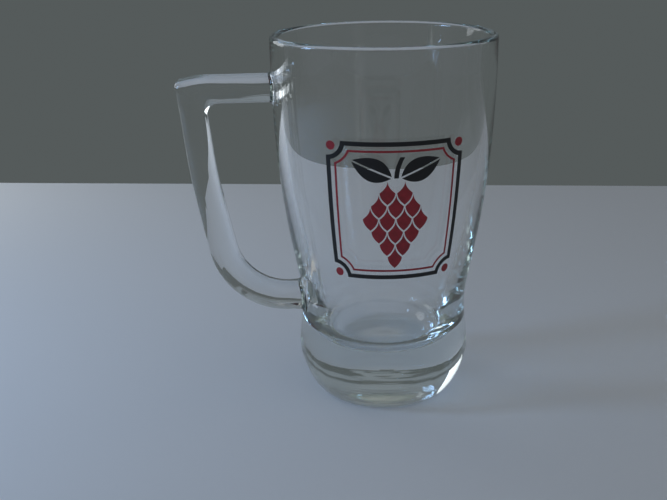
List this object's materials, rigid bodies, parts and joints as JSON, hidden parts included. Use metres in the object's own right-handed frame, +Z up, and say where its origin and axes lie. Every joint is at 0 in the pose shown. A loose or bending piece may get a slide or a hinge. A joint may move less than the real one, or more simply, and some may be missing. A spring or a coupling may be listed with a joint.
{
  "type": "beer mug",
  "caption": "Clear glass beer mug with a waisted body, heavy rounded foot, slanted glass handle fused at two pads, and a fired red and black print on the front.",
  "frame": {"origin": "on the mug's axis, in the plane that it stands on", "axes": "+Z up along the mug's axis, the handle reaches towards -X, the print faces -Y"},
  "size_m": [0.1104, 0.078, 0.13],
  "materials": {
    "clear_glass": "fire-polished clear soda-lime glass",
    "red_ink": "fired dark red enamel print, satin gloss",
    "black_ink": "fired black enamel print, satin gloss"
  },
  "bodies": {
    "root": {"mug_body": "clear_glass", "handle": "clear_glass", "print_frame": "black_ink", "print_inner_line": "red_ink", "print_bract_1_1": "red_ink", "print_bract_1_2": "red_ink", "print_bract_2_1": "red_ink", "print_bract_2_2": "red_ink", "print_bract_2_3": "red_ink", "print_bract_3_1": "red_ink", "print_bract_3_2": "red_ink", "print_bract_3_3": "red_ink", "print_bract_3_4": "red_ink", "print_bract_4_1": "red_ink", "print_bract_4_2": "red_ink", "print_bract_4_3": "red_ink", "print_bract_5_1": "red_ink", "print_bract_5_2": "red_ink", "print_bract_6_1": "red_ink", "print_leaf_left_upper": "black_ink", "print_leaf_left_lower": "black_ink", "print_leaf_right_upper": "black_ink", "print_leaf_right_lower": "black_ink", "print_stem": "black_ink", "print_dot_left_top": "red_ink", "print_dot_left_bottom": "red_ink", "print_dot_right_top": "red_ink", "print_dot_right_bottom": "red_ink"}
  },
  "joints": []
}
